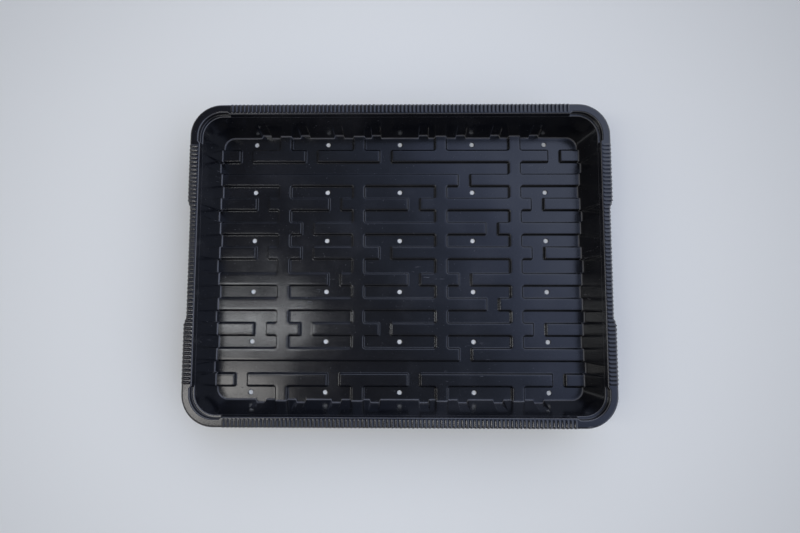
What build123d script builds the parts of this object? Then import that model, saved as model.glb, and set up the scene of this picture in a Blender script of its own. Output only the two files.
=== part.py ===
"""Shallow nursery tray with a ribbed rim, fluted walls and a two-level drained floor.

The real tray is one moulded sheet.  It is modelled as the regions a moulder would name: the
floor panel, four walls, four shouldered corner walls, four ribbed rims and four smooth rim
corners.  Each region is a solid of its own and meets its neighbours face to face.

Millimetres.  +X along the tray, +Y to the back, +Z up.  The origin is on the underside of the
floor, in the middle of the tray.
"""
import os
from math import cos, radians, tan

from build123d import *

os.makedirs("parts", exist_ok=True)

# ---------------------------------------------------------------- overall
rim_length = 530.0          # outside the smooth rim corners
rim_width = 402.0
tray_height = 60.0          # underside of the floor to the top of the flange
sheet = 1.2                 # thickness of the moulded sheet
wall_draft = 12.0           # degrees from upright

# ---------------------------------------------------------------- rim
flange_width = 12.5         # tray opening to outer edge
rim_corner_radius = 40.0    # outside, seen from above
skirt_depth = 4.0           # turned-down outer edge, from the top of the flange
corner_reach = 11.0         # how far the smooth corner runs on past its arc
rib_pitch = 5.0
rib_width = 2.8
rib_crest = 1.4
rib_height = 0.9            # above the flange and out from the skirt
handhold_length = 136.0     # the narrower stretch in the middle of both short rims
handhold_ramp = 9.0
handhold_inset = 3.0

# ---------------------------------------------------------------- corner shoulders for stacking
shoulder_drop = 7.0         # ledge below the top of the flange
shoulder_lip = 2.0          # how far the shoulder is set out from the tray opening

# ---------------------------------------------------------------- floor
emboss_height = 5.0         # upper level above lower level
emboss_draft = 15.0         # degrees from upright
pocket_radius = 2.0         # corners of the lower level
centre_strip = 19.0         # width of the middle strip, which runs along X
edge_strip = 18.0           # width of the front and back strips
strips_per_half = 9         # strips between the middle strip and an edge strip
gap_width = 15.8            # raised bars that part the lower level into columns
neck_width = 16.0           # lower-level passages through the raised strips
hole_diameter = 6.0
hole_margin = 44.4          # short wall to the outer hole centres

# ---------------------------------------------------------------- wall flutes
end_flute_depth = 5.0       # short walls, at floor level
end_flute_rise = 55.0
end_flute_margin = 1.2      # flute edge to strip edge
side_flute_depth = 4.0      # long walls
side_flute_width = 12.5
side_flute_rise = 35.0

# ---------------------------------------------------------------- places worked out from these
wall_slope = tan(radians(wall_draft))
wall_rise = tray_height - sheet
inner_length = rim_length - 2 * flange_width
inner_width = rim_width - 2 * flange_width
inner_radius = rim_corner_radius - flange_width
floor_length = inner_length - 2 * wall_rise * wall_slope
floor_width = inner_width - 2 * wall_rise * wall_slope

corner_x = rim_length / 2 - rim_corner_radius - corner_reach
corner_y = rim_width / 2 - rim_corner_radius - corner_reach

hole_pitch = (floor_length - 2 * hole_margin) / 4
strip_pitch = (floor_width / 2 - centre_strip / 2 - edge_strip) / strips_per_half
middle_strip = strips_per_half + 1
last_strip = 2 * middle_strip
emboss_slope = tan(radians(emboss_draft))
pocket_inset = emboss_height * emboss_slope / 2
under_grow = sheet / cos(radians(emboss_draft)) - pocket_inset - sheet * emboss_slope
past_wall = end_flute_depth + side_flute_depth + 4 * sheet

# Raised bars between columns, necks and flutes, as multiples of the hole pitch from the middle.
BARS = (-1.585, -0.5665, 0.5665, 1.585)
MID, NEAR, FAR, OUTER, END = 0.196, 0.889, 1.264, 1.888, 2.13
NECKS = {
    1: (-END, -1.227, -MID, END),
    3: (NEAR,),
    5: (-OUTER, -NEAR, MID, OUTER),
    7: (-FAR, FAR),
    9: (-OUTER, -FAR, -MID, OUTER),
    11: (-NEAR, MID, NEAR),
    13: (FAR,),
    15: (-OUTER, -FAR, -MID, OUTER),
    17: (NEAR,),
    19: (-END, -NEAR, MID, END),
}
SIDE_FLUTES = (-1.857, -1.319, -0.845, -0.327, 0.327, 0.845, 1.319, 1.857)
FLUTED_STRIPS = (2, 6, 10, 14, 18)
DRAINED_STRIPS = (0, 4, 8, 12, 16, 20)


# ---------------------------------------------------------------- the floor's layout
def strip_edge(number):
    """Y of the back edge of a strip.  Strip 0 is at the back and the last strip at the front."""
    if number <= middle_strip:
        return centre_strip / 2 + strip_pitch * (middle_strip - number)
    return -strip_edge(last_strip + 1 - number)


def strip_span(number):
    """Front and back edge of a strip.  The outer strips run on past the walls."""
    back = strip_edge(number) if number > 0 else floor_width / 2 + past_wall
    front = strip_edge(number + 1) if number < last_strip else -floor_width / 2 - past_wall
    return front, back


def drain_row(number):
    """Y of the holes in a strip."""
    if number < middle_strip:
        return strip_edge(number + 1) + strip_pitch / 2
    return -drain_row(last_strip - number)


def channel_ends(number):
    """Left and right end of each stretch of lower level in a strip."""
    bars = {2: BARS[3:], 18: ()}.get(number, BARS)
    beyond = floor_length / 2 + past_wall
    stops = [-beyond]
    for bar in bars:
        stops += [bar * hole_pitch - gap_width / 2, bar * hole_pitch + gap_width / 2]
    stops.append(beyond)
    return zip(stops[0::2], stops[1::2])


def lower_level(grow):
    """The floor's lower level seen from above, grown by a margin on every side."""
    with BuildSketch(mode=Mode.PRIVATE) as level:
        for number in range(0, last_strip + 1, 2):
            front, back = strip_span(number)
            for left, right in channel_ends(number):
                with Locations(((left + right) / 2, (front + back) / 2)):
                    Rectangle(right - left + 2 * grow, back - front + 2 * grow)
        for number, necks in NECKS.items():
            front, back = strip_span(number)
            for neck in necks:
                with Locations((neck * hole_pitch, (front + back) / 2)):
                    Rectangle(neck_width + 2 * grow, strip_pitch + 2 * pocket_radius)
        fillet(level.vertices(), pocket_radius)
    return level.sketch


# ---------------------------------------------------------------- the walls' form
def wall_x(height):
    """X of the right wall's inner face at a height."""
    return inner_length / 2 - (tray_height - height) * wall_slope


def wall_y(height):
    """Y of the back wall's inner face at a height."""
    return inner_width / 2 - (tray_height - height) * wall_slope


def tray_form(skin):
    """The space inside the tray, or with a skin added all round, the outside of its walls."""
    side = skin / cos(radians(wall_draft))
    ledge = shoulder_lip + skin
    with BuildPart() as form:
        with BuildSketch(Plane.XY.offset(tray_height)):
            RectangleRounded(inner_length + 2 * side, inner_width + 2 * side, inner_radius + side)
        extrude(amount=-tray_height, taper=wall_draft)
        # corner shoulders
        with BuildSketch(Plane.XY.offset(tray_height)):
            RectangleRounded(inner_length + 2 * ledge, inner_width + 2 * ledge, inner_radius + ledge)
            Rectangle(2 * (corner_x + sheet - skin), rim_width, mode=Mode.SUBTRACT)
            Rectangle(rim_length, 2 * (corner_y + sheet - skin), mode=Mode.SUBTRACT)
        extrude(amount=-shoulder_drop - skin)
        # flutes up the short walls, one at each end of every undrained strip of the lower level
        for number in FLUTED_STRIPS:
            front, back = strip_span(number)
            foot = wall_x(0) + end_flute_depth + side
            top = wall_x(end_flute_rise) + side
            with BuildSketch(Plane.XZ.offset(-(front + back) / 2)):
                Polygon((-foot, 0), (foot, 0), (top, end_flute_rise), (-top, end_flute_rise), align=None)
            extrude(amount=(back - front) / 2 - end_flute_margin + skin, both=True)
        # flutes up the long walls
        for place in SIDE_FLUTES:
            foot = wall_y(0) + side_flute_depth + side
            top = wall_y(side_flute_rise) + side
            with BuildSketch(Plane.YZ.offset(place * hole_pitch)):
                Polygon((-foot, 0), (foot, 0), (top, side_flute_rise), (-top, side_flute_rise), align=None)
            extrude(amount=side_flute_width / 2 + skin, both=True)
    return form.part


inside = tray_form(0)
outside = tray_form(sheet)

# ---------------------------------------------------------------- floor panel
with BuildPart() as lower_body:
    with BuildSketch():
        add(lower_level(under_grow))
    extrude(amount=emboss_height, taper=-emboss_draft)

with BuildPart() as floor_panel:
    add(lower_body.part)
    with BuildSketch(Plane.XY.offset(emboss_height)):
        Rectangle(inner_length, inner_width)
    extrude(amount=sheet)
    with BuildSketch(Plane.XY.offset(sheet)):
        add(lower_level(-pocket_inset))
    extrude(amount=emboss_height, taper=-emboss_draft, mode=Mode.SUBTRACT)
    with BuildSketch():
        for number in DRAINED_STRIPS:
            with Locations((0, drain_row(number))):
                with GridLocations(hole_pitch, 0, 5, 1):
                    Circle(hole_diameter / 2)
    extrude(amount=sheet, mode=Mode.SUBTRACT)
    add(inside, mode=Mode.INTERSECT)

floor_panel.part.label = "floor_panel"
export_step(floor_panel.part, "parts/floor_panel.step")

# ---------------------------------------------------------------- the walls, still in one ring
with BuildPart() as wall_ring:
    add(outside)
    add(inside, mode=Mode.SUBTRACT)
    with BuildSketch(Plane.XY.offset(wall_rise)):
        Rectangle(rim_length, rim_width)
    extrude(amount=2 * sheet, mode=Mode.SUBTRACT)

# The upper level is hollow beneath, and its channels run out under the walls.
with BuildPart() as hollows:
    with BuildSketch():
        Rectangle(rim_length, rim_width)
    extrude(amount=emboss_height)
    add(lower_body.part, mode=Mode.SUBTRACT)


# ---------------------------------------------------------------- the rim, still in one ring
def rim_outline(grow):
    """The rim's outer edge seen from above, with a handhold in each short side."""
    with BuildSketch(mode=Mode.PRIVATE) as outline:
        RectangleRounded(rim_length + 2 * grow, rim_width + 2 * grow, rim_corner_radius + grow)
        with PolarLocations(rim_length / 2 + grow, 2):
            Polygon(
                (0, -handhold_length / 2 - handhold_ramp),
                (0, handhold_length / 2 + handhold_ramp),
                (-handhold_inset, handhold_length / 2),
                (-handhold_inset, -handhold_length / 2),
                align=None,
                mode=Mode.SUBTRACT,
            )
    return outline.sketch


def rim_form(skin):
    """The flange and its turned-down skirt, with a skin added above and around them."""
    with BuildPart() as form:
        with BuildSketch(Plane.XY.offset(tray_height - skirt_depth)):
            add(rim_outline(skin))
        extrude(amount=skirt_depth + skin)
        with BuildSketch(Plane.XY.offset(tray_height - skirt_depth)):
            add(rim_outline(-sheet))
        extrude(amount=skirt_depth - sheet, mode=Mode.SUBTRACT)
        add(inside, mode=Mode.SUBTRACT)
        with BuildSketch(Plane.XY.offset(tray_height)):
            RectangleRounded(inner_length, inner_width, inner_radius)
        extrude(amount=2 * skin + sheet, mode=Mode.SUBTRACT)
    return form.part


def rib_profiles(zone):
    """Sections of the ribs along a straight rim, drawn in an upright sketch."""
    count = int((zone - rib_width) / rib_pitch) + 1
    with GridLocations(rib_pitch, 0, count, 1):
        Polygon(
            (-rib_width / 2, tray_height - skirt_depth),
            (rib_width / 2, tray_height - skirt_depth),
            (rib_width / 2, tray_height),
            (rib_crest / 2, tray_height + rib_height),
            (-rib_crest / 2, tray_height + rib_height),
            (-rib_width / 2, tray_height),
            align=None,
        )


smooth_rim = rim_form(0)
rib_limit = rim_form(rib_height)

# ---------------------------------------------------------------- walls and rim by region
# Name, side along X, side along Y.  A corner has both.
REGIONS = (
    ("front", 0, -1),
    ("back", 0, 1),
    ("left", -1, 0),
    ("right", 1, 0),
    ("front_left", -1, -1),
    ("front_right", 1, -1),
    ("back_left", -1, 1),
    ("back_right", 1, 1),
)


def stretch(side, other_side, corner):
    """Middle and length of a region along one axis."""
    if side == 0:
        return 0, 2 * corner
    start = corner if other_side else 0
    return side * (start + rim_length) / 2, rim_length - start


for name, x_side, y_side in REGIONS:
    x, length = stretch(x_side, y_side, corner_x)
    y, width = stretch(y_side, x_side, corner_y)

    with BuildPart() as wall:
        add(wall_ring.part)
        with Locations((x, y, 0)):
            Box(length, width, 3 * tray_height, mode=Mode.INTERSECT)
        add(hollows.part, mode=Mode.SUBTRACT)

    wall.part.label = f"{name}_wall"
    export_step(wall.part, f"parts/{name}_wall.step")

    with BuildPart() as rim:
        add(smooth_rim)
        if x_side == 0:
            with BuildSketch(Plane.XZ):
                rib_profiles(length)
            extrude(amount=-y_side * rim_width)
            add(rib_limit, mode=Mode.INTERSECT)
        elif y_side == 0:
            with BuildSketch(Plane.YZ):
                rib_profiles(width)
            extrude(amount=x_side * rim_length)
            add(rib_limit, mode=Mode.INTERSECT)
        with Locations((x, y, 0)):
            Box(length, width, 3 * tray_height, mode=Mode.INTERSECT)

    rim.part.label = f"{name}_rim"
    export_step(rim.part, f"parts/{name}_rim.step")
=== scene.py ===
"""Looks of the nursery tray: a black moulded sheet with a two-level floor, fluted walls and a ribbed rim.

The tray is one sheet, drawn here by its upper side.  The floor is laid out on lines that follow the
strips, necks, bars and drain holes.  The walls and the rim are one upright section, carried round
the tray station by station.  The lower side is the upper one set back by the sheet's thickness, and
each region of the sheet becomes a closed piece that stands for one node of the frame.

The tray's own sizes are in millimetres; objects are made in metres.
"""
from math import atan, atan2, cos, pi, radians, sin, tan

import bpy
import numpy as np
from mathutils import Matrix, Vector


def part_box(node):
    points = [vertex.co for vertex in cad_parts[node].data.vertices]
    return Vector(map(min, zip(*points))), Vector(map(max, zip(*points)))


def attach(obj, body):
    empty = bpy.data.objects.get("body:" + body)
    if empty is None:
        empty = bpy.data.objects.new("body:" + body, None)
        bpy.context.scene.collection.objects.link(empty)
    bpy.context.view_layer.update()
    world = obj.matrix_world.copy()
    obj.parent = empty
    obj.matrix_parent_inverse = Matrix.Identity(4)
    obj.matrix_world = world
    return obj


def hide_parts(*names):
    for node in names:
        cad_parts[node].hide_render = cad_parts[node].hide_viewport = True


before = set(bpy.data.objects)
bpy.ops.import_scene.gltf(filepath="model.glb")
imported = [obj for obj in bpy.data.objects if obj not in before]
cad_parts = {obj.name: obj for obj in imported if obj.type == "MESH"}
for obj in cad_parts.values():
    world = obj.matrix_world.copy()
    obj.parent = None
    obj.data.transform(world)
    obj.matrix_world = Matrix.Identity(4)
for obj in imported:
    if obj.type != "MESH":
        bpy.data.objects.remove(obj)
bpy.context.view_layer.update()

MM = 0.001

# ---------------------------------------------------------------- overall, from the frame
_, front_wall_high = np.array(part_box("front_wall")) / MM
_, left_wall_high = np.array(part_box("left_wall")) / MM
rim_corner_low, rim_corner_high = np.array(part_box("back_right_rim")) / MM

sheet = 1.2
wall_draft = 12.0
rim_x, rim_y, tray_height = rim_corner_high
flange_width = 12.5
rim_corner_radius = 40.0
skirt_depth = tray_height - rim_corner_low[2]
corner_x = front_wall_high[0]   # where the straight sides give way to the corners
corner_y = left_wall_high[1]

# ---------------------------------------------------------------- floor
emboss_height = 5.0
emboss_draft = 15.0
centre_strip = 19.0
edge_strip = 18.0
strips_per_half = 9
gap_width = 15.8
neck_width = 16.0
hole_radius = 3.0
hole_edge_drop = 0.25       # how far a hole's edge is drawn down
hole_margin = 44.4
pocket_radius = 2.65        # corners of the lower level, half-way up their slope
neck_radius = 1.35          # corners of the raised strips beside a neck

# ---------------------------------------------------------------- edges and roundings
foot_radius = 0.8           # at the bottom of every slope in the floor
crest_radius = 1.3          # at its top
base_radius = 2.0           # floor to wall
mouth_radius = 1.6          # wall to flange
edge_radius = 2.0           # flange to skirt

# ---------------------------------------------------------------- shoulders, flutes, ribs, handholds
shoulder_drop = 7.0
shoulder_lip = 2.0
shoulder_start = 0.8        # from the corner's seam to the shoulder's rounded end
shoulder_run = 4.0          # length of that end
end_flute_depth = 5.0
end_flute_rise = 55.0
end_flute_margin = 1.2
side_flute_depth = 4.0
side_flute_width = 12.5
side_flute_rise = 35.0
rib_pitch = 5.0
rib_height = 0.9
handhold_length = 136.0
handhold_ramp = 9.0
handhold_inset = 3.0

# ---------------------------------------------------------------- places worked out from these
LONG_SIDES = ("front", "back")
HOLE_COLUMNS = range(-2, 3)
wall_slope = tan(radians(wall_draft))
wall_rise = tray_height - sheet
axis_x = rim_x - rim_corner_radius              # centre of a corner's arcs
axis_y = rim_y - rim_corner_radius
opening = rim_corner_radius - flange_width      # from that centre to the tray's mouth
foot_reach = opening - wall_rise * wall_slope   # and to the foot of the wall
floor_x = axis_x + foot_reach
floor_y = axis_y + foot_reach
hole_pitch = (2 * floor_x - 2 * hole_margin) / (len(HOLE_COLUMNS) - 1)
strip_pitch = (floor_y - centre_strip / 2 - edge_strip) / strips_per_half
middle_strip = strips_per_half + 1
last_strip = 2 * middle_strip

# Raised bars, necks and flutes, as multiples of the hole pitch from the middle.
BARS = (-1.585, -0.5665, 0.5665, 1.585)
SHORT_OF_BARS = {2: BARS[3:], 18: ()}
MID, NEAR, FAR, OUTER, END = 0.196, 0.889, 1.264, 1.888, 2.13
NECKS = {
    1: (-END, -1.227, -MID, END),
    3: (NEAR,),
    5: (-OUTER, -NEAR, MID, OUTER),
    7: (-FAR, FAR),
    9: (-OUTER, -FAR, -MID, OUTER),
    11: (-NEAR, MID, NEAR),
    13: (FAR,),
    15: (-OUTER, -FAR, -MID, OUTER),
    17: (NEAR,),
    19: (-END, -NEAR, MID, END),
}
SIDE_FLUTES = (-1.857, -1.319, -0.845, -0.327, 0.327, 0.845, 1.319, 1.857)
FLUTED_STRIPS = (2, 6, 10, 14, 18)
DRAINED_STRIPS = (0, 4, 8, 12, 16, 20)


# ---------------------------------------------------------------- a rounded step, used for floor and flutes
def step_profile():
    """Distance and height of a step, from its foot (height 0) to its crest."""
    lean = radians(90 - emboss_draft)
    half = emboss_height * tan(radians(emboss_draft)) / 2
    foot_start = half + foot_radius * tan(lean / 2)
    crest_end = half + crest_radius * tan(lean / 2)
    points = []
    for turn in np.linspace(0, lean, 3):
        points.append((foot_start - foot_radius * sin(turn), foot_radius * (1 - cos(turn))))
    for turn in np.linspace(lean, 0, 4):
        height = emboss_height - crest_radius * (1 - cos(turn))
        points.append((crest_radius * sin(turn) - crest_end, height))
    return np.array(sorted(points))


STEP = step_profile()
STEP_LINES = STEP[:, 0]
STEP_RISE = STEP[:, 1] / emboss_height


def step_up(inward):
    """Height share of a step at a distance inside its foot line."""
    return np.interp(inward, STEP_LINES, STEP_RISE)


def smooth(share):
    """A share from 0 to 1, eased at both ends."""
    share = np.clip(share, 0, 1)
    return share * share * (3 - 2 * share)


# ---------------------------------------------------------------- the floor's layout
def strip_edge(number):
    """Y of the back edge of a strip.  Strip 0 is at the back and the last strip at the front."""
    if number <= middle_strip:
        return centre_strip / 2 + strip_pitch * (middle_strip - number)
    return -strip_edge(last_strip + 1 - number)


def strip_span(number):
    """Y of a strip's front and back edges.  The two outer strips run on past the floor."""
    back = strip_edge(number) if number > 0 else 2 * floor_y
    front = strip_edge(number + 1) if number < last_strip else -2 * floor_y
    return front, back


def strip_middle(number):
    """Y of a strip's middle, where its drain holes are."""
    if number == middle_strip:
        return 0.0
    if number < middle_strip:
        return strip_edge(number + 1) + strip_pitch / 2
    return -strip_middle(last_strip - number)


def bar_edges(number):
    """Left and right edges of the raised bars that cross a lower strip."""
    bars = SHORT_OF_BARS.get(number, BARS)
    return [(bar * hole_pitch - gap_width / 2, bar * hole_pitch + gap_width / 2) for bar in bars]


def neck_edges(number):
    """Left and right edges of the lower necks that cross a raised strip."""
    necks = NECKS[number]
    return [(neck * hole_pitch - neck_width / 2, neck * hole_pitch + neck_width / 2) for neck in necks]


def lower_cells():
    """Boxes whose union is the lower level, and its corners as (x, y, low side x, low side y, bulge)."""
    cells, corners = [], []
    for number in range(0, last_strip + 1, 2):
        front, back = strip_span(number)
        stops = [-2 * floor_x] + [edge for pair in bar_edges(number) for edge in pair] + [2 * floor_x]
        for left, right in zip(stops[0::2], stops[1::2]):
            cells.append((left, right, front, back))
        for left, right in bar_edges(number):
            for y, side in ((front, 1), (back, -1)):
                corners += [(left, y, -1, side, 1), (right, y, 1, side, 1)]
    for number in NECKS:
        front, back = strip_span(number)
        for left, right in neck_edges(number):
            cells.append((left, right, strip_span(number + 1)[0], strip_span(number - 1)[1]))
            for y, side in ((front, -1), (back, 1)):
                corners += [(left, y, 1, side, -1), (right, y, -1, side, -1)]
    return cells, corners


CELLS, CORNERS = lower_cells()
HOLES = [(column * hole_pitch, strip_middle(number)) for number in DRAINED_STRIPS for column in HOLE_COLUMNS]


def inside_lower(x, y):
    """How far inside the lower level a point lies, square to its straight edges."""
    best = np.full(np.shape(x), -np.inf)
    for left, right, front, back in CELLS:
        reach = np.minimum(np.minimum(x - left, right - x), np.minimum(y - front, back - y))
        best = np.maximum(best, reach)
    return best


def level(x, y):
    """Height of the floor's upper side."""
    return sheet + emboss_height * step_up(inside_lower(x, y))


# Lines around a corner or a hole are bent; the bend fades out over these distances.
corner_fade_start, corner_fade_end = 1.7, 5.0
hole_fade_start, hole_fade_end = 3.5, 6.5


def fade(distance, start, end):
    """1 up to the start, easing to 0 at the end."""
    return 1 - smooth((distance - start) / (end - start))


def round_corners(x, y):
    """Move the layout's points so that its square corners follow arcs, and its holes are round."""
    new_x, new_y = x.copy(), y.copy()
    for corner_at_x, corner_at_y, side_x, side_y, bulge in CORNERS:
        radius = pocket_radius if bulge > 0 else neck_radius
        across = radius - bulge * side_x * (x - corner_at_x)
        along = radius - bulge * side_y * (y - corner_at_y)
        span = np.maximum(across, along)
        near = (across > 0) & (along > 0) & (span < radius + corner_fade_end)
        size = np.hypot(across, along)[near]
        pull = (1 - span[near] / size) * fade(span[near] - radius, corner_fade_start, corner_fade_end)
        new_x[near] += bulge * side_x * across[near] * pull
        new_y[near] += bulge * side_y * along[near] * pull
    for hole_x, hole_y in HOLES:
        across, along = x - hole_x, y - hole_y
        span = np.maximum(abs(across), abs(along))
        near = (span > 0.1) & (span < hole_fade_end)
        size = np.hypot(across, along)[near]
        pull = (span[near] / size - 1) * fade(span[near], hole_fade_start, hole_fade_end)
        new_x[near] += across[near] * pull
        new_y[near] += along[near] * pull
    return new_x, new_y


# ---------------------------------------------------------------- the walls' and rim's section
BASE_POINTS, CREST_POINTS, HOLLOW_POINTS, MOUTH_POINTS, EDGE_POINTS = 5, 5, 4, 5, 4
WALL_HEIGHTS = (12.0, 20.0, 28.0, side_flute_rise, 43.0, 49.0)
FLANGE_SHARES = (0.05, 0.13, 0.25, 0.6, 0.93)   # across the flange, from the mouth outwards
SKIRT_SHARES = (0.8, 1.0)                       # down the skirt

SHOULDER_ROW = BASE_POINTS + len(WALL_HEIGHTS)
SEAM = SHOULDER_ROW + CREST_POINTS + HOLLOW_POINTS          # the row where the wall gives way to the rim
FLANGE_ROW = SEAM + MOUTH_POINTS
ROW_COUNT = FLANGE_ROW + len(FLANGE_SHARES) + EDGE_POINTS + len(SKIRT_SHARES)

# Share of a rib's height by row, from just outside the mouth to the skirt's lower edge.
RIB_ROW = FLANGE_ROW + 1
RIB_ROWS = (0.35, 0.5, 0.65, 0.85, 1.0, 0.95, 0.7, 0.55, 0.5, 0.4)
RIB_HALF = ((0.0, 1.0), (0.5, 0.87), (1.05, 0.52), (1.6, 0.15), (2.1, 0.0))
RIB_SHAPE = sorted({(side * offset, share) for side in (1, -1) for offset, share in RIB_HALF})

# Painted highlight: a paler colour stands in for the glints on the roundings. It is strongest in the middle
# row of a rounding and less in the rows beside it.
ROW_PAINTED_HIGHLIGHT = {}
for middle, highlight_most, highlight_beside in (
    (BASE_POINTS // 2, 1.0, 0.6),
    (SHOULDER_ROW + CREST_POINTS // 2, 0.5, 0.3),
    (SEAM + MOUTH_POINTS // 2, 0.4, 0.2),
):
    ROW_PAINTED_HIGHLIGHT.update({middle - 1: highlight_beside, middle: highlight_most, middle + 1: highlight_beside})


def arc(centre, radius, start, stop, count):
    """Points of an arc, from one direction to another."""
    turns = np.linspace(start, stop, count)
    return [(centre[0] + radius * cos(turn), centre[1] + radius * sin(turn)) for turn in turns]


def section(depth, rise, base_level, shoulder, inset):
    """Distance out from the corner axis and height, from the floor's edge to the skirt's lower edge.

    A flute has its depth at the wall's foot and runs out at its rise.  Shoulder is 0 where the wall
    runs straight up to its mouth and 1 where it steps out below it.  Inset draws the skirt in.
    """

    def wall(height):
        return foot_reach + (height - sheet) * wall_slope + depth * max(0, 1 - height / rise)

    lean = atan(wall_slope - (depth / rise if depth else 0))
    base_set = base_radius * tan((pi / 2 - lean) / 2)
    base_centre = (wall(base_level) - base_set, base_level + base_radius)
    rows = arc(base_centre, base_radius, -pi / 2, -lean, BASE_POINTS)
    rows += [(wall(height), height) for height in WALL_HEIGHTS]

    lean = radians(wall_draft)
    ledge = tray_height - shoulder_drop
    lip = opening + shoulder_lip
    crest_set = crest_radius * tan((pi / 2 - lean) / 2)
    mouth_set = mouth_radius * tan((pi / 2 - lean) / 2)
    mouth_height = tray_height - mouth_radius
    crest_centre = (wall(ledge) + crest_set, ledge - crest_radius)
    stepped = arc(crest_centre, crest_radius, pi - lean, pi / 2, CREST_POINTS)
    stepped += arc((lip - foot_radius, ledge + foot_radius), foot_radius, -pi / 2, 0, HOLLOW_POINTS)
    heights = np.linspace(ledge - crest_set, ledge + foot_radius, len(stepped))
    plain = [(wall(height), height) for height in heights]
    stepped += arc((lip + mouth_radius, mouth_height), mouth_radius, pi, pi / 2, MOUTH_POINTS)
    plain += arc((opening + mouth_set, mouth_height), mouth_radius, pi - lean, pi / 2, MOUTH_POINTS)
    rows += [
        (low[0] + shoulder * (high[0] - low[0]), low[1] + shoulder * (high[1] - low[1]))
        for low, high in zip(plain, stepped)
    ]

    flat_start = rows[-1][0]
    outer = rim_corner_radius - inset
    flat_end = outer - edge_radius
    rows += [(flat_start + share * (flat_end - flat_start), tray_height) for share in FLANGE_SHARES]
    rows += arc((flat_end, tray_height - edge_radius), edge_radius, pi / 2, 0, EDGE_POINTS)
    rows += [(outer, tray_height - share * skirt_depth) for share in SKIRT_SHARES]
    return rows


def straight_run(side):
    """Where along a side its corner region starts, and where the corner's arcs start."""
    return (corner_x, axis_x) if side in LONG_SIDES else (corner_y, axis_y)


def flute(side, place):
    """Depth at the wall's foot and rise of the wall's flute at a place along a side."""
    if side in LONG_SIDES:
        half = side_flute_width / 2
        spans = [((at * hole_pitch - half, at * hole_pitch + half), 0) for at in SIDE_FLUTES]
        depth, rise = side_flute_depth, side_flute_rise
    else:
        spans = [(strip_span(number), end_flute_margin) for number in FLUTED_STRIPS]
        depth, rise = end_flute_depth, end_flute_rise
    inward = max(min(place - low, high - place) - margin for (low, high), margin in spans)
    return depth * (1 - step_up(inward)), rise


def straight_station(side, place):
    """The section's points at a place along a straight side."""
    depth, rise = flute(side, place)
    outward = 1 if side in ("right", "back") else -1
    shoulder = smooth((abs(place) - straight_run(side)[0] - shoulder_start) / shoulder_run)
    if side in LONG_SIDES:
        base_level = level(place, outward * floor_y)
        rows = section(depth, rise, base_level, shoulder, 0)
        return [(place, outward * (axis_y + reach), height) for reach, height in rows]
    base_level = level(outward * floor_x, place)
    inset_share = (handhold_length / 2 + handhold_ramp - abs(place)) / handhold_ramp
    rows = section(depth, rise, base_level, shoulder, handhold_inset * np.clip(inset_share, 0, 1))
    return [(outward * (axis_x + reach), place, height) for reach, height in rows]


# ---------------------------------------------------------------- drawing the sheet
class Sheet:
    """Points and faces of the upper side, with the piece that each face belongs to."""

    def __init__(self):
        self.points = []
        self.lift = []
        self.painted_highlight = []
        self.faces = []
        self.names = []

    def add_points(self, points, lift=0.0, painted_highlight=0.0):
        """Add points that share their lift and painted highlight, and return their numbers."""
        start = len(self.points)
        self.points.extend(points)
        self.lift.extend([lift] * len(points))
        self.painted_highlight.extend([painted_highlight] * len(points))
        return range(start, len(self.points))

    def bridge(self, row, next_row, name_at):
        """Faces between two rows of {place: point}, which share some of their places."""
        shared = sorted(set(row) & set(next_row))
        low = sorted(row)
        high = sorted(next_row)
        low_at = {place: index for index, place in enumerate(low)}
        high_at = {place: index for index, place in enumerate(high)}
        for start, stop in zip(shared, shared[1:]):
            face = [row[place] for place in low[low_at[start]:low_at[stop] + 1]]
            face += [next_row[place] for place in reversed(high[high_at[start]:high_at[stop] + 1])]
            self.faces.append(face)
            self.names.append(name_at((start + stop) / 2))


tray = Sheet()


def on_floor(place):
    """Name of the floor's piece, the same at every place."""
    return "floor_panel"


# ---------------------------------------------------------------- lines of the floor's grid
LINE_DIGITS = 2                             # lines are rounded to this many digits
LINE_STEP = 10 ** -LINE_DIGITS
SLACK = 0.001                               # for comparing places
FADE_LINES = np.array((-4.6, 2.3, 4.6))     # beside a step, for the bends around its corners
FLUTE_LINES = np.array((0.1, 1.0, 1.7, 2.0))    # inside a fluted strip's edge, for the flute's own step
SHOULDER_SHARES = (0, 0.15, 0.3, 0.5, 0.7, 0.85, 1)
HALF_HOLE_LINES = (1.0, 2.0, hole_radius, 3.3, 4.4, hole_fade_end)
HOLE_LINES = (0.0, *HALF_HOLE_LINES, *(-line for line in HALF_HOLE_LINES))

base_line = foot_reach - base_radius * tan((pi / 2 - radians(wall_draft)) / 2)
last_x, last_y = axis_x + base_line, axis_y + base_line     # the floor's last lines


def tidy(places):
    """Places in order, rounded so that near twins fall together."""
    return sorted({round(float(place), LINE_DIGITS) for place in places})


def step_lines(edge, low_side, extra=()):
    """Lines across one edge of the lower level."""
    return [*(edge + low_side * np.concatenate((STEP_LINES, FADE_LINES, extra)))]


def hole_lines(middle):
    """Lines across a drain hole."""
    return [middle + offset for offset in HOLE_LINES]


def strip_lines(number):
    """X lines that a strip's own features ask for."""
    lines = []
    low_side = 1 if number % 2 else -1
    for left, right in neck_edges(number) if number % 2 else bar_edges(number):
        lines += step_lines(left, low_side) + step_lines(right, -low_side)
    if number in DRAINED_STRIPS:
        for column in HOLE_COLUMNS:
            lines += hole_lines(column * hole_pitch)
    return lines


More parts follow.
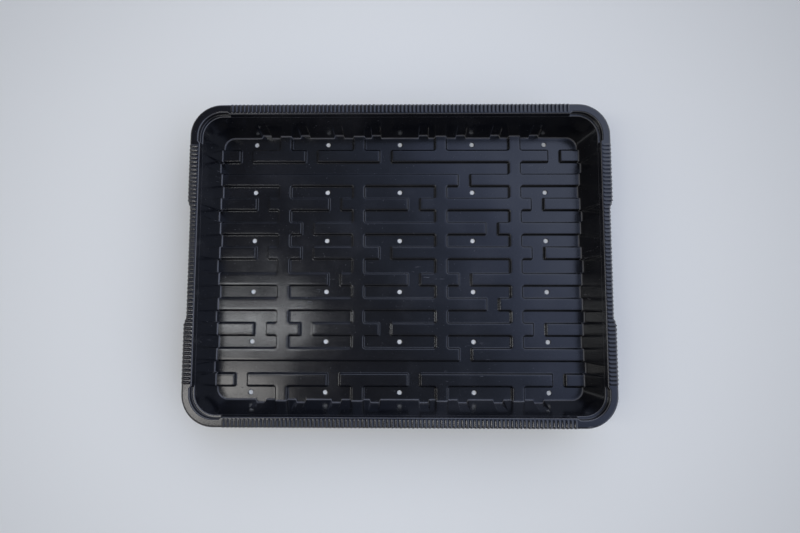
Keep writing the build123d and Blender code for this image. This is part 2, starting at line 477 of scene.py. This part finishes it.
def side_places(side):
    """Places along a side that its walls ask for."""
    places = []
    if side in LONG_SIDES:
        for at in SIDE_FLUTES:
            for inward in (1, -1):
                edge = at * hole_pitch - inward * side_flute_width / 2
                places += [*(edge + inward * STEP_LINES)]
    else:
        for number in range(1, last_strip + 1):
            beside_flute = number in FLUTED_STRIPS or number - 1 in FLUTED_STRIPS
            low_side = 1 if number % 2 else -1
            places += step_lines(strip_edge(number), low_side, FLUTE_LINES if beside_flute else ())
    corner, end = straight_run(side)
    run = [corner + shoulder_start + shoulder_run * share for share in SHOULDER_SHARES]
    for place in (corner, *run, end):
        places += [-place, place]
    return places


# Steps of the floor's rings round a corner, from the arcs' centre to the last line of the floor.
ring_margin = 0.5
outer_rows = step_lines(strip_edge(1), 1) + hole_lines(strip_middle(0))
ring_steps = tidy([row - axis_y for row in outer_rows if row > axis_y + ring_margin] + [base_line])

floor_rows = tidy(
    [row for row in side_places("right") if abs(row) <= axis_y]
    + [strip_middle(number) for number in range(last_strip + 1)]
    + [row for number in DRAINED_STRIPS for row in hole_lines(strip_middle(number))]
    + [side * (axis_y + step) for step in ring_steps for side in (-1, 1)]
)
end_rows = [row for row in floor_rows if abs(row) <= axis_y + SLACK]


def floor_grid():
    """The x lines that cross each y line.  Rows between two strips' middles take the lines of both."""
    grid = {row: set() for row in floor_rows}
    side_columns = [side * (axis_x + step) for step in ring_steps for side in (-1, 1)]
    for number in range(last_strip):
        front, back = strip_middle(number + 1), strip_middle(number)
        columns = strip_lines(number) + strip_lines(number + 1) + [-axis_x, axis_x]
        for row in floor_rows:
            if front - SLACK <= row <= back + SLACK:
                grid[row].update(tidy(columns))
                if row in end_rows:
                    grid[row].update(tidy(side_columns))
    columns = strip_lines(0) + side_places("front") + [-axis_x, axis_x]
    columns = tidy([column for column in columns if abs(column) <= axis_x])
    for row in floor_rows:
        if abs(row) >= strip_middle(0) - SLACK:
            grid[row].update(columns)
    return grid


def add_floor(grid):
    """The floor between the corners, with its drain holes open and its last lines on the walls' foot."""
    places = [(x, y) for y in sorted(grid) for x in sorted(grid[y])]
    grid_x, grid_y = np.array(places).T
    round_x, round_y = round_corners(grid_x, grid_y)
    points = np.column_stack((round_x, round_y, level(grid_x, grid_y)))
    for index, (x, y) in enumerate(places):
        if abs(abs(x) - last_x) < 2 * LINE_STEP:
            points[index] = straight_station("right" if x > 0 else "left", y)[0]
        elif abs(abs(y) - last_y) < 2 * LINE_STEP:
            points[index] = straight_station("back" if y > 0 else "front", x)[0]

    rows = {}
    for index, (x, y) in zip(tray.add_points(points.tolist()), places):
        rows.setdefault(y, {})[x] = index
    ordered = sorted(rows)
    for y, next_y in zip(ordered, ordered[1:]):
        tray.bridge(rows[y], rows[next_y], on_floor)
    for number, face in reversed(list(enumerate(tray.faces))):
        at_x, at_y = np.mean([places[index] for index in face], axis=0)
        if any(max(abs(at_x - hole_x), abs(at_y - hole_y)) < hole_radius for hole_x, hole_y in HOLES):
            del tray.faces[number], tray.names[number]


# ---------------------------------------------------------------- walls and rim
def rib_share(side, place):
    """Share of a rib's height at a place along a side."""
    if abs(place) > straight_run(side)[0]:
        return 0.0
    from_rib = (place % rib_pitch) - rib_pitch / 2
    return float(np.interp(from_rib, *zip(*RIB_SHAPE)))


def rim_places(side):
    """Places along a side that its rim asks for."""
    corner, end = straight_run(side)
    places = [place for place in side_places(side) if corner <= abs(place) <= end]
    pairs = round(corner / rib_pitch) if side in LONG_SIDES else int(corner / rib_pitch)
    for number in range(-pairs, pairs):
        places += [(number + 0.5) * rib_pitch + offset for offset, share in RIB_SHAPE]
    if side not in LONG_SIDES:
        half = handhold_length / 2
        places += [-half - handhold_ramp, -half, half, half + handhold_ramp]
    return tidy(places)


def side_name(side, place):
    """Region that a place along a side belongs to."""
    if abs(place) < straight_run(side)[0]:
        return side
    if side in LONG_SIDES:
        return f"{side}_{'right' if place > 0 else 'left'}"
    return f"{'back' if place > 0 else 'front'}_{side}"


def ring_faces(rows, name_at):
    """Faces of the wall's rows up to the seam, and of the rim's rows past it."""
    for number, (inner, outer) in enumerate(zip(rows, rows[1:])):
        kind = "wall" if number < SEAM else "rim"
        tray.bridge(outer, inner, lambda place: f"{name_at(place)}_{kind}")


def add_side(side, wall_places):
    """A straight side's wall and rim.  The seam's row has the places of both."""
    turn = 1 if side in ("right", "front") else -1
    wall_set, rim_set = set(wall_places), set(rim_places(side))
    stations = {place: straight_station(side, place) for place in wall_set | rim_set}
    rows = []
    for number in range(ROW_COUNT):
        places = wall_set if number < SEAM else rim_set if number > SEAM else wall_set | rim_set
        rib_rise = rib_height * RIB_ROWS[number - RIB_ROW] if number >= RIB_ROW else 0.0
        row = {}
        for place in places:
            lift = rib_rise * rib_share(side, place)
            row[turn * place] = tray.add_points([stations[place][number]], lift, ROW_PAINTED_HIGHLIGHT.get(number, 0.0))[0]
        rows.append(row)
    ring_faces(rows, lambda place: side_name(side, turn * place))


CORNER_STEPS = 16


def add_corner(side_x, side_y, name):
    """A corner's floor, wall and rim."""
    turns = np.linspace(0, pi / 2, CORNER_STEPS + 1)
    if side_x * side_y < 0:
        turns = turns[::-1]
    flat = [(step, sheet, 0.0) for step in ring_steps[:-1]]
    # Each row of the section carries its share of the painted highlight.
    upright = [(*row, ROW_PAINTED_HIGHLIGHT.get(number, 0.0)) for number, row in enumerate(section(0, 1, sheet, 1, 0))]
    centre = tray.add_points([(side_x * axis_x, side_y * axis_y, sheet)])[0]
    rows = []
    for reach, height, highlight in flat + upright:
        points = [
            (side_x * (axis_x + reach * cos(turn)), side_y * (axis_y + reach * sin(turn)), height)
            for turn in turns
        ]
        rows.append(dict(enumerate(tray.add_points(points, 0.0, highlight))))
    for start in range(CORNER_STEPS):
        tray.faces.append([centre, rows[0][start], rows[0][start + 1]])
        tray.names.append(on_floor(start))
    for inner, outer in zip(rows, rows[1:len(flat) + 1]):
        tray.bridge(outer, inner, on_floor)
    ring_faces(rows[len(flat):], lambda place: name)


grid = floor_grid()
add_floor(grid)
add_side("front", grid[round(-last_y, LINE_DIGITS)])
add_side("back", grid[round(last_y, LINE_DIGITS)])
add_side("left", end_rows)
add_side("right", end_rows)
add_corner(1, 1, "back_right")
add_corner(-1, 1, "back_left")
add_corner(-1, -1, "front_left")
add_corner(1, -1, "front_right")

# ---------------------------------------------------------------- one welded sheet, upper and lower side
WELD_GRID = 1000        # points in the same micrometre are one
WELD_OFFSET = 0.217     # keeps the tray's round sizes off the edges between micrometres

points = np.array(tray.points)
keys = np.round(points * WELD_GRID + WELD_OFFSET)
keys, first, welded = np.unique(keys, axis=0, return_index=True, return_inverse=True)
welded = welded.reshape(-1)
points = points[first]
lift = np.array(tray.lift)[first]
painted_highlight = np.array(tray.painted_highlight)[first]
faces = [[int(welded[index]) for index in face] for face in tray.faces]


def weighted_normals(positions, polygons):
    """Normals at the points, each face counted by its area."""
    normals = np.zeros_like(positions)
    by_size = {}
    for polygon in polygons:
        by_size.setdefault(len(polygon), []).append(polygon)
    for size, group in by_size.items():
        group = np.array(group)
        spokes = positions[group[:, 1:]] - positions[group[:, :1]]
        area = sum(np.cross(spokes[:, k], spokes[:, k + 1]) for k in range(size - 2))
        for k in range(size):
            np.add.at(normals, group[:, k], area)
    return normals / np.maximum(np.linalg.norm(normals, axis=1, keepdims=True), 1e-12)


set_out = weighted_normals(points, faces)
upper = points + lift[:, None] * set_out
for hole_x, hole_y in HOLES:
    on_edge = abs(np.hypot(points[:, 0] - hole_x, points[:, 1] - hole_y) - hole_radius) < LINE_STEP
    upper[on_edge, 2] -= hole_edge_drop
lower = points - sheet * set_out
upper_normals = weighted_normals(upper, faces)
lower_normals = -weighted_normals(lower, faces)


def make_piece(name, polygons):
    """A closed piece of the sheet: its upper side, its lower side and the edges between them."""
    used = sorted({index for polygon in polygons for index in polygon})
    place = {index: number for number, index in enumerate(used)}
    count = len(used)
    open_edges = {}
    for polygon in polygons:
        for start, stop in zip(polygon, polygon[1:] + polygon[:1]):
            if open_edges.pop((stop, start), None) is None:
                open_edges[(start, stop)] = True
    top = [[place[index] for index in polygon] for polygon in polygons]
    bottom = [[count + index for index in polygon[::-1]] for polygon in top]
    sides = [
        [place[stop], place[start], count + place[start], count + place[stop]] for start, stop in open_edges
    ]
    corners = np.vstack((upper[used], lower[used]))
    all_faces = top + bottom + sides
    sizes = np.array([len(face) for face in all_faces])
    loops = np.concatenate([np.array(face) for face in all_faces])

    # The two sides are shaded as one smooth surface each, and the edges between them apart from both.
    smooth_normals = np.vstack((upper_normals[used], lower_normals[used]))
    side_normals = weighted_normals(corners, sides)
    on_side = np.repeat(np.arange(len(all_faces)) >= len(top) + len(bottom), sizes)
    loop_normals = np.where(on_side[:, None], side_normals[loops], smooth_normals[loops])

    mesh = bpy.data.meshes.new(name)
    mesh.vertices.add(2 * count)
    mesh.vertices.foreach_set("co", (corners * MM).ravel())
    mesh.loops.add(len(loops))
    mesh.loops.foreach_set("vertex_index", loops.astype(np.int32))
    mesh.polygons.add(len(sizes))
    mesh.polygons.foreach_set("loop_start", np.concatenate(([0], np.cumsum(sizes)[:-1])).astype(np.int32))
    mesh.update(calc_edges=True)
    mesh.validate()
    mesh.polygons.foreach_set("use_smooth", np.ones(len(sizes), dtype=bool))
    mesh.normals_split_custom_set(loop_normals.tolist())
    # The painted highlight's share at each point, which the material turns into a paler colour.
    highlight = mesh.attributes.new("painted_highlight", "FLOAT", "POINT")
    highlight.data.foreach_set("value", np.tile(painted_highlight[used], 2).astype(np.float32))
    piece = bpy.data.objects.new(f"{name}_sheet", mesh)
    bpy.context.collection.objects.link(piece)
    return piece


# ---------------------------------------------------------------- materials
class Nodes:
    """A node tree, with short calls to add and join nodes."""

    def __init__(self, owner, coordinates="Object"):
        owner.use_nodes = True
        self.tree = owner.node_tree
        self.place = self.add("ShaderNodeTexCoord").outputs[coordinates]

    def add(self, kind, **settings):
        """A new node with the given settings."""
        node = self.tree.nodes.new(kind)
        for key, value in settings.items():
            setattr(node, key, value)
        return node

    def feed(self, node, **inputs):
        """Give a node's inputs, named with _ for a space, another node's output or a plain value."""
        for name, value in inputs.items():
            socket = node.inputs[name.replace("_", " ")]
            if isinstance(value, bpy.types.NodeSocket):
                self.tree.links.new(value, socket)
            else:
                socket.default_value = (*value, 1) if socket.type == "RGBA" else value
        return node

    def noise(self, scale, detail, stretch=(1, 1, 1), offset=(0, 0, 0)):
        """Soft noise from 0 to 1."""
        mapping = self.add("ShaderNodeMapping")
        self.feed(mapping, Vector=self.place, Scale=stretch, Location=offset)
        noise = self.add("ShaderNodeTexNoise")
        return self.feed(noise, Vector=mapping.outputs["Vector"], Scale=scale, Detail=detail).outputs["Fac"]

    def ramp(self, value, low, high, to_low=0.0, to_high=1.0, **settings):
        """A value's share of the way from low to high, carried over to another span."""
        node = self.add("ShaderNodeMapRange", **settings)
        self.feed(node, Value=value, From_Min=low, From_Max=high, To_Min=to_low, To_Max=to_high)
        return node.outputs["Result"]

    def math(self, operation, first, second):
        """Two values joined by one operation."""
        node = self.add("ShaderNodeMath", operation=operation)
        for socket, value in zip(node.inputs, (first, second)):
            if isinstance(value, bpy.types.NodeSocket):
                self.tree.links.new(value, socket)
            else:
                socket.default_value = value
        return node.outputs["Value"]

    def mix(self, share, first, second, blend="MIX"):
        """Two colours blended by a share."""
        node = self.add("ShaderNodeMix", data_type="RGBA", blend_type=blend)
        return self.feed(node, Factor=share, A=first, B=second).outputs["Result"]

    def bump(self, height, strength, distance, **before):
        """A relief, on top of the one before it if there is one."""
        node = self.feed(self.add("ShaderNodeBump"), Height=height, Strength=strength, Distance=distance)
        return self.feed(node, **before).outputs["Normal"]


def tray_plastic():
    """Black semi-gloss sheet with a blue cast, faint smudges, dust and scuffs, and a painted highlight along
    the roundings.
    """
    material = bpy.data.materials.new("tray_plastic")
    nodes = Nodes(material)
    # The pale grey serves both the dust and the painted highlight.
    black, dust_and_highlight_grey = (0.0040, 0.0044, 0.0062), (0.10, 0.10, 0.11)

    smudge = nodes.ramp(nodes.noise(14.0, 4.0), 0.52, 0.78)
    specks = nodes.ramp(nodes.noise(420.0, 2.0), 0.70, 0.78)
    scuff_area = nodes.ramp(nodes.noise(9.0, 2.0, offset=(3.1, 0.4, 0.0)), 0.55, 0.7)
    scuffs = nodes.ramp(nodes.noise(60.0, 5.0, stretch=(1.0, 6.0, 1.0)), 0.66, 0.72)
    scuffs = nodes.math("MULTIPLY", scuffs, scuff_area)
    marks = nodes.math("MAXIMUM", nodes.math("MULTIPLY", specks, 0.5), scuffs)
    dust_and_highlight = nodes.math("MAXIMUM", nodes.math("MULTIPLY", smudge, 0.10), nodes.math("MULTIPLY", marks, 0.7))
    # Painted highlight: the rows along the base, crest and mouth roundings are paler, standing in for their
    # glints.
    highlight = nodes.add("ShaderNodeAttribute", attribute_name="painted_highlight").outputs["Fac"]
    highlight = nodes.math("MULTIPLY", highlight, nodes.ramp(nodes.noise(50.0, 3.0), 0.3, 0.7, 0.5, 1.0))
    # From here the share mixes real dust with the painted highlight.
    dust_and_highlight = nodes.math("MAXIMUM", dust_and_highlight, highlight)

    gloss = nodes.ramp(nodes.noise(35.0, 5.0), 0.3, 0.7, 0.13, 0.19)
    warp = nodes.bump(nodes.noise(9.0, 1.0), 0.5, 0.0035)
    nodes.feed(
        nodes.tree.nodes["Principled BSDF"],
        Base_Color=nodes.mix(dust_and_highlight, black, dust_and_highlight_grey),
        Roughness=nodes.math("ADD", gloss, nodes.math("MULTIPLY", dust_and_highlight, 0.5)),
        Normal=nodes.bump(nodes.noise(900.0, 2.0), 0.25, 0.00012, Normal=warp),
        IOR=1.6,
    )
    return material


plastic = tray_plastic()
by_name = {}
for name, face in zip(tray.names, faces):
    by_name.setdefault(name, []).append(face)
for name, polygons in sorted(by_name.items()):
    piece = make_piece(name, polygons)
    piece.data.materials.append(plastic)
    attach(piece, "root")
    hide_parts(name)


# ---------------------------------------------------------------- ground, in metres
ground_reach = 6.0


def ground_material():
    """Pale matt ground with a painted pool of light, brighter around the tray and darker further out."""
    material = bpy.data.materials.new("ground")
    nodes = Nodes(material)
    # Painted pool of light: the colour is lighter near the tray and darker further out.
    painted_light_near, painted_dim_far = (0.86, 0.845, 0.77), (0.58, 0.57, 0.52)
    from_middle = nodes.add("ShaderNodeVectorMath", operation="LENGTH")
    nodes.feed(from_middle, Vector=nodes.place)
    outward = nodes.ramp(from_middle.outputs["Value"], 0.25, 0.7)
    nodes.feed(
        nodes.tree.nodes["Principled BSDF"],
        Base_Color=nodes.mix(outward, painted_light_near, painted_dim_far),
        Roughness=0.9,
        Specular_IOR_Level=0.1,
    )
    return material


ground = bpy.data.meshes.new("ground")
ground_corners = [(x * ground_reach, y * ground_reach, 0) for x, y in ((-1, -1), (1, -1), (1, 1), (-1, 1))]
ground.from_pydata(ground_corners, [], [(0, 1, 2, 3)])
ground.materials.append(ground_material())
ground_object = bpy.data.objects.new("ground", ground)
bpy.context.collection.objects.link(ground_object)


# ---------------------------------------------------------------- sky and lamps, in metres
# The sky overhead, from the front left to the back right, as (share of the way, colour).
SKY = (
    (0.0, (0.30, 0.30, 0.32)),
    (0.425, (0.09, 0.09, 0.11)),
    (0.475, (0.13, 0.14, 0.17)),
    (0.55, (0.24, 0.29, 0.42)),
    (0.61, (0.55, 0.66, 1.05)),
    (0.67, (0.95, 1.10, 1.55)),
    (1.0, (1.00, 1.10, 1.35)),
)
HORIZON = (0.75, 0.74, 0.72)


def studio_world():
    """Dark overhead at the left, blue and bright to the right and the back, and pale at the horizon."""
    world = bpy.data.worlds.new("studio")
    nodes = Nodes(world, "Generated")
    across = nodes.add("ShaderNodeVectorMath", operation="DOT_PRODUCT")
    across.inputs[1].default_value = (0.9, 0.5, 0.0)
    nodes.tree.links.new(nodes.place, across.inputs[0])

    overhead = nodes.add("ShaderNodeValToRGB")
    nodes.feed(overhead, Fac=nodes.ramp(across.outputs["Value"], -1.0, 1.0))
    ends = overhead.color_ramp.elements
    ends[0].color, ends[1].color = (*SKY[0][1], 1), (*SKY[-1][1], 1)
    for share, colour in SKY[1:-1]:
        ends.new(share).color = (*colour, 1)

    height = nodes.feed(nodes.add("ShaderNodeSeparateXYZ"), Vector=nodes.place).outputs["Z"]
    low = nodes.ramp(height, 0.85, 0.25, interpolation_type="SMOOTHSTEP")
    sky = nodes.mix(low, overhead.outputs["Color"], HORIZON, blend="ADD")
    nodes.feed(nodes.tree.nodes["Background"], Color=sky)
    return world


def softbox(name, at, size, radiance, colour):
    """A panel that faces the tray; radiance is its brightness as the tray sees it."""
    data = bpy.data.lights.new(name, "AREA")
    data.shape = "RECTANGLE"
    data.size, data.size_y = size
    data.energy = radiance * pi * size[0] * size[1]
    data.color = colour
    lamp = bpy.data.objects.new(name, data)
    lamp.location = at
    lamp.rotation_euler = (0, atan2(at[0], at[2]), 0)
    bpy.context.collection.objects.link(lamp)


bpy.context.scene.world = studio_world()
softbox("lamp", at=(-0.92, -0.46, 2.0), size=(0.5, 0.25), radiance=5.0, colour=(1.0, 0.98, 0.95))
softbox("strip", at=(-1.35, -0.10, 2.0), size=(1.8, 0.16), radiance=7.0, colour=(0.95, 0.98, 1.0))

# ---------------------------------------------------------------- camera, nearly straight above
camera_data = bpy.data.cameras.new("camera")
camera_data.sensor_width = 36.0
camera_data.lens = 25.2
camera = bpy.data.objects.new("camera", camera_data)
camera.location = (0.010, -0.0666, 0.748)
camera.rotation_euler = (radians(5.08), radians(0.73), radians(0.11))
bpy.context.collection.objects.link(camera)
bpy.context.scene.camera = camera
bpy.context.scene.view_settings.view_transform = "Standard"
